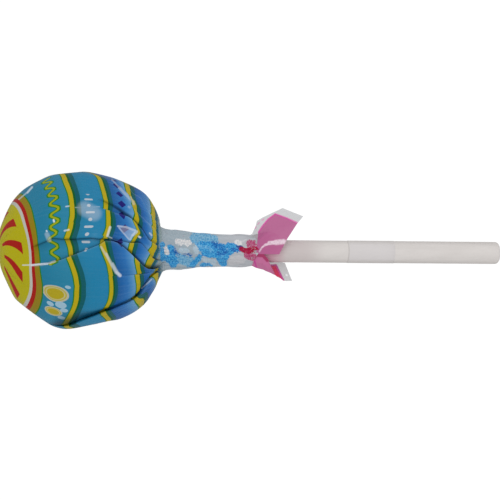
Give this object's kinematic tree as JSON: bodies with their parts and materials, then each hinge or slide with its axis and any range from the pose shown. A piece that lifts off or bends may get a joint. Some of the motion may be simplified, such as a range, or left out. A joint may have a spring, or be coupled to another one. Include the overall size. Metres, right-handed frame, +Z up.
{
  "type": "wrapped ball lollipop",
  "caption": "Round lollipop in a pleated, printed film wrapper twisted round a straight stick, with flared film ends, lying on its side.",
  "frame": {"origin": "middle of the small flat spot on which the ball rests", "axes": "+X from the ball towards the stick's free end, along the table; +Z up; +Y completes the right-handed frame"},
  "size_m": [0.0873, 0.0268, 0.0273],
  "materials": {
    "printed_film": "satin printed film, blue with yellow and green rings",
    "stick_plastic": "smooth matte off-white"
  },
  "bodies": {
    "root": {"wrapper": "printed_film", "stick": "stick_plastic"}
  },
  "joints": []
}
